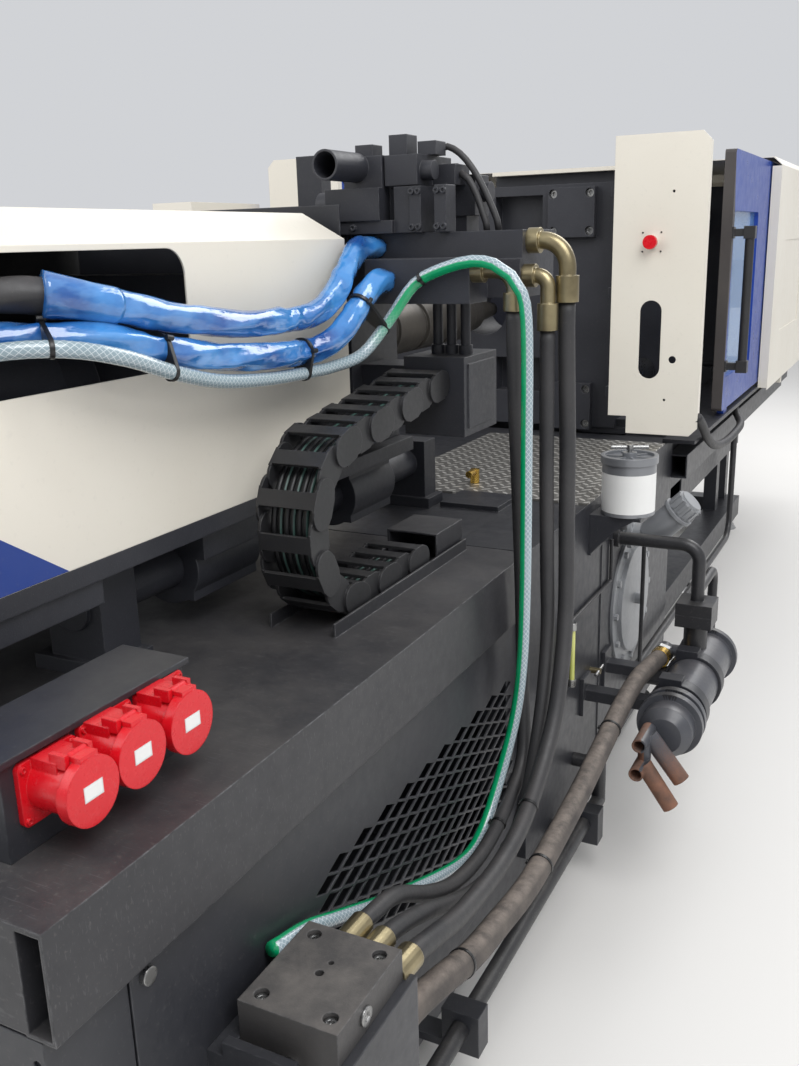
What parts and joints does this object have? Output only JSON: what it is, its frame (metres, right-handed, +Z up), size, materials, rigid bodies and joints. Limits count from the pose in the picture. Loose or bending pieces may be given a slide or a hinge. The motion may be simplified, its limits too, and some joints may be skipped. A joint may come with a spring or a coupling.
{
  "type": "injection moulding machine",
  "caption": "Horizontal injection moulding machine with a long steel bed, injection carriage, hydraulic clamp, sliding guard doors, side hoses and a cable chain.",
  "frame": {"origin": "centre of the footprint at floor level", "axes": "+Z up, Y along the injection axis with the injection end at -Y and the clamp end at +Y, +X towards the rear side with the hoses"},
  "size_m": [1.914, 5.76, 1.778],
  "materials": {
    "black_paint": "satin",
    "black_cast": "satin",
    "bare_steel": "brushed",
    "white_paint": "satin",
    "blue_paint": "satin",
    "red_plastic": "gloss",
    "old_copper": "tarnished",
    "black_rubber": "matte",
    "chain_plastic": "matte",
    "green_plastic": "gloss",
    "blue_film": "gloss",
    "window": "clear"
  },
  "bodies": {
    "base": {"bed_frame": "black_paint", "levelling_feet": "bare_steel", "deck_tray": "black_paint", "tread_plate": "bare_steel", "vent_panel": "black_paint", "base_panels": "black_paint", "socket_box": "black_paint", "socket_housings": "red_plastic", "cap_screws": "bare_steel", "outlet_block": "black_cast", "outlet_bracket": "black_paint", "oil_tank": "black_paint", "tank_cover": "bare_steel", "filter_canister": "bare_steel", "filter_bracket": "black_paint", "filler_neck": "bare_steel", "oil_cooler": "black_paint", "oil_pipes": "black_paint", "water_stubs": "old_copper", "pipe_clamps": "black_paint", "fixed_platen": "black_cast", "tie_bars": "bare_steel", "tie_bar_caps": "black_cast", "end_platen": "black_cast", "guard_panel": "white_paint", "clamp_cover": "white_paint", "operator_panel": "white_paint", "guide_bars": "black_paint", "pump_motor": "black_paint", "side_hose": "black_rubber", "drag_chain": "chain_plastic", "hose_a": "black_rubber", "hose_b": "black_rubber", "hose_c": "black_rubber", "water_hose": "green_plastic"},
    "panel_lock": {"panel_lock": "bare_steel"},
    "lid_near": {"lid_near": "red_plastic"},
    "lid_mid": {"lid_mid": "red_plastic"},
    "lid_far": {"lid_far": "red_plastic"},
    "filter_handle": {"filter_handle": "bare_steel"},
    "filler_cap": {"filler_cap": "bare_steel"},
    "estop": {"estop_button": "red_plastic"},
    "rear_door": {"rear_door": "blue_paint", "rear_door_window": "window", "rear_door_handle": "black_paint"},
    "front_door": {"front_door": "blue_paint"},
    "platen": {"moving_platen": "black_cast"},
    "ejector": {"ejector_plate": "bare_steel"},
    "carriage": {"carriage_base": "black_paint", "injection_cover": "white_paint", "cover_trim": "blue_paint", "front_housing": "black_cast", "valve_stack": "black_cast", "junction_box": "black_paint", "barrel": "bare_steel", "hose_elbows": "bare_steel", "wrapped_hose_upper": "blue_film", "wrapped_hose_lower": "blue_film"},
    "injector": {"drive_plate": "black_cast"},
    "screw": {"screw": "bare_steel"}
  },
  "joints": [
    {"name": "carriage_slide", "type": "slide", "parent": "base", "child": "carriage", "axis": [0, 1, 0], "range_m": [-0.12, 0.15], "deforming": ["hose_a", "hose_b", "hose_c", "water_hose", "drag_chain"]},
    {"name": "injection_slide", "type": "slide", "parent": "carriage", "child": "injector", "axis": [0, 1, 0], "range_m": [-0.2, 0]},
    {"name": "screw_spin", "type": "hinge", "parent": "injector", "child": "screw", "pos_m": [0, -2, 1.272], "axis": [0, 1, 0], "continuous": true},
    {"name": "clamp_slide", "type": "slide", "parent": "base", "child": "platen", "axis": [0, 1, 0], "range_m": [-0.45, 0.1]},
    {"name": "ejector_slide", "type": "slide", "parent": "platen", "child": "ejector", "axis": [0, 1, 0], "range_m": [-0.1, 0]},
    {"name": "rear_door_slide", "type": "slide", "parent": "base", "child": "rear_door", "axis": [0, 1, 0], "range_m": [-0.46, 0.6]},
    {"name": "front_door_slide", "type": "slide", "parent": "base", "child": "front_door", "axis": [0, 1, 0], "range_m": [0, 0.9]},
    {"name": "estop_press", "type": "slide", "parent": "base", "child": "estop", "axis": [0, 1, 0], "range_m": [0, 0.006], "stiffness_N_per_m": 1500},
    {"name": "filter_handle_turn", "type": "hinge", "parent": "base", "child": "filter_handle", "pos_m": [0.723, -1.06, 1.014], "axis": [0, 0, 1], "range_deg": [-90, 90]},
    {"name": "filler_cap_turn", "type": "hinge", "parent": "base", "child": "filler_cap", "pos_m": [0.80485, -0.805, 0.80985], "axis": [0.7071, 0, 0.7071], "range_deg": [0, 90]},
    {"name": "panel_lock_turn", "type": "hinge", "parent": "base", "child": "panel_lock", "pos_m": [0.62, -2.731, 0.721], "axis": [1, 0, 0], "range_deg": [-90, 0]},
    {"name": "lid_near_turn", "type": "hinge", "parent": "base", "child": "lid_near", "pos_m": [0.58, -2.749, 0.994], "axis": [0, -1, 0], "range_deg": [0, 105], "stiffness_Nm_per_rad": 0.05, "springref_deg": -28.65},
    {"name": "lid_mid_turn", "type": "hinge", "parent": "base", "child": "lid_mid", "pos_m": [0.58, -2.67, 0.999], "axis": [0, -1, 0], "range_deg": [0, 105], "stiffness_Nm_per_rad": 0.05, "springref_deg": -28.65},
    {"name": "lid_far_turn", "type": "hinge", "parent": "base", "child": "lid_far", "pos_m": [0.58, -2.582, 0.998], "axis": [0, -1, 0], "range_deg": [0, 105], "stiffness_Nm_per_rad": 0.05, "springref_deg": -28.65}
  ]
}
